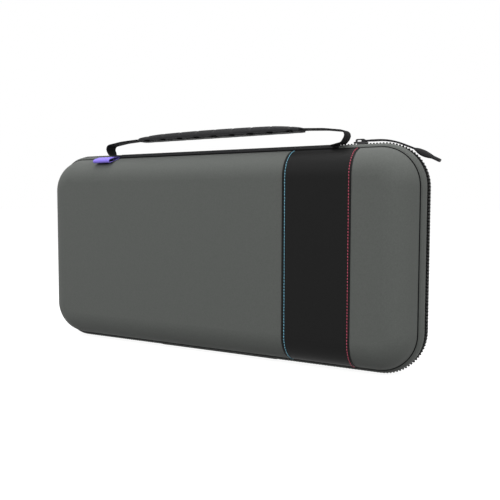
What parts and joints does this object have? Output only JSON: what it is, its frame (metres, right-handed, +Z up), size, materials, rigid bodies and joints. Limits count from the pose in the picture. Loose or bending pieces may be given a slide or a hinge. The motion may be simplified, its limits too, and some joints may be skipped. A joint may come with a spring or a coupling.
{
  "type": "portable game console case",
  "caption": "Zipped hard-shell carrying case for a handheld console, with a padded handle, a moulded tray inside and pockets in the lid.",
  "frame": {"origin": "on the surface that the case stands on, under the middle of the spine, in the parting plane of the zip", "axes": "+X along the case towards the end with the contrast band, +Y from the lid to the rear half, +Z up"},
  "size_m": [0.3076, 0.047, 0.1573],
  "materials": {
    "shell_fabric": "woven polyester laminated on moulded foam",
    "band_fabric": "black leather-look laminate",
    "thread_blue": "sewing thread",
    "thread_red": "sewing thread",
    "zip_tape": "woven zip tape",
    "zip_plastic": "moulded zip teeth",
    "spine_fabric": "woven polyester",
    "base_webbing": "flat webbing",
    "webbing": "woven webbing",
    "grip_rubber": "matt rubber",
    "ribbon": "satin ribbon",
    "tray_lining": "brushed lining over moulded foam",
    "elastic": "woven elastic",
    "panel_lining": "brushed lining over foam",
    "card_cloth": "plain weave",
    "mesh": "knitted mesh",
    "binding": "elastic binding",
    "slider_metal": "gloss black on cast zinc",
    "pull_strap": "flexible strap",
    "pull_rubber": "moulded rubber"
  },
  "bodies": {
    "rear_case": {"rear_shell": "shell_fabric", "zip_tape_rear": "zip_tape", "zip_teeth_rear": "zip_plastic", "spine_strip": "spine_fabric", "console_tray": "tray_lining", "hold_down_strap": "elastic"},
    "lid": {"front_shell": "shell_fabric", "centre_band": "band_fabric", "stitching_blue": "thread_blue", "stitching_red": "thread_red", "zip_tape_front": "zip_tape", "zip_teeth_front": "zip_plastic", "handle_base": "base_webbing", "handle_strap": "webbing", "handle_grip": "grip_rubber", "side_tag": "ribbon", "card_panel": "panel_lining", "card_pockets": "card_cloth", "lid_pocket": "mesh", "pocket_binding": "binding"},
    "slider": {"zip_slider": "slider_metal"},
    "pull": {"pull_loop": "pull_strap", "pull_grip": "pull_rubber"}
  },
  "joints": [
    {"name": "lid_hinge", "type": "hinge", "parent": "rear_case", "child": "lid", "pos_m": [0, 0, 0], "axis": [1, 0, 0], "range_deg": [0, 175]},
    {"name": "slider_slide", "type": "slide", "parent": "rear_case", "child": "slider", "axis": [1, 0, 0], "range_m": [-0.225, 0.007], "deforming": ["pull_loop", "pull_grip"]},
    {"name": "pull_swing", "type": "hinge", "parent": "slider", "child": "pull", "pos_m": [0.108, 0, 0.14575], "axis": [0, -1, 0], "range_deg": [0, 165]}
  ]
}
